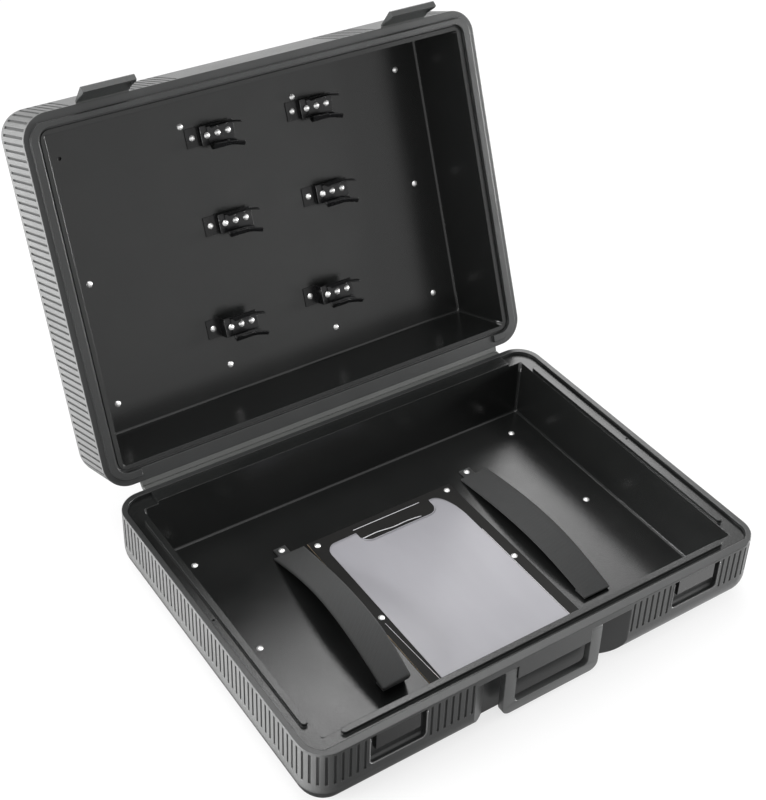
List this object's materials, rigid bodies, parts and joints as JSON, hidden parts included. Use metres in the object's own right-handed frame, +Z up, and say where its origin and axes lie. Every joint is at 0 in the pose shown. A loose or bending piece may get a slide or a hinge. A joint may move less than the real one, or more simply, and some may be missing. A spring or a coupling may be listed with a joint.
{
  "type": "tool case",
  "caption": "Hard plastic tool case standing open, with flap latches, swinging carry handle, riveted trays, document pocket, holding straps and spring clips in the lid.",
  "frame": {"origin": "centre of the flat underside of the base", "axes": "+Z up, -Y towards the handle and latches, +X to the right seen from the front; the lid stands open behind, towards +Y"},
  "size_m": [0.5, 0.5778, 0.4414],
  "materials": {
    "shell_plastic": "satin moulded black, fine texture",
    "tray_plastic": "smooth satin black sheet",
    "handle_plastic": "satin moulded black",
    "pocket_backing": "black sheet with a tan raw edge",
    "pocket_film": "clear glossy film over black",
    "strap_webbing": "matte black webbing",
    "rivet_metal": "bright domed heads",
    "pin_steel": "plain steel pin",
    "clip_metal": "black coated spring steel"
  },
  "bodies": {
    "base": {"base_shell": "shell_plastic", "base_tray": "tray_plastic", "base_tray_rivets": "rivet_metal", "hinge_leaf_base": "shell_plastic", "keeper_left": "shell_plastic", "keeper_right": "shell_plastic", "pocket_backing": "pocket_backing", "pocket_front": "pocket_film", "pocket_rivets": "rivet_metal", "strap_left": "strap_webbing", "strap_right": "strap_webbing", "strap_rivets": "rivet_metal", "handle_pins": "pin_steel"},
    "lid": {"lid_shell": "shell_plastic", "lid_tray": "tray_plastic", "lid_tray_rivets": "rivet_metal", "hinge_leaf_lid": "shell_plastic", "flap_web_left": "shell_plastic", "flap_web_right": "shell_plastic", "clip_bracket_1": "clip_metal", "clip_bracket_2": "clip_metal", "clip_bracket_3": "clip_metal", "clip_bracket_4": "clip_metal", "clip_bracket_5": "clip_metal", "clip_bracket_6": "clip_metal", "clip_spring_1": "clip_metal", "clip_spring_2": "clip_metal", "clip_spring_3": "clip_metal", "clip_spring_4": "clip_metal", "clip_spring_5": "clip_metal", "clip_spring_6": "clip_metal", "clip_rivets": "rivet_metal"},
    "handle": {"handle": "handle_plastic"},
    "latch_left": {"latch_left": "handle_plastic"},
    "latch_right": {"latch_right": "handle_plastic"}
  },
  "joints": [
    {"name": "lid_hinge", "type": "hinge", "parent": "base", "child": "lid", "pos_m": [0, 0.1892, 0.07], "axis": [1, 0, 0], "range_deg": [0, 111]},
    {"name": "handle_swing", "type": "hinge", "parent": "base", "child": "handle", "pos_m": [0, -0.1795, 0.057], "axis": [-1, 0, 0], "range_deg": [-8, 90]},
    {"name": "latch_left_flap", "type": "hinge", "parent": "lid", "child": "latch_left", "pos_m": [-0.1667, 0.32443, 0.41977], "axis": [-1, 0, 0], "range_deg": [-34, 56]},
    {"name": "latch_right_flap", "type": "hinge", "parent": "lid", "child": "latch_right", "pos_m": [0.1667, 0.32443, 0.41977], "axis": [-1, 0, 0], "range_deg": [-34, 56]}
  ]
}
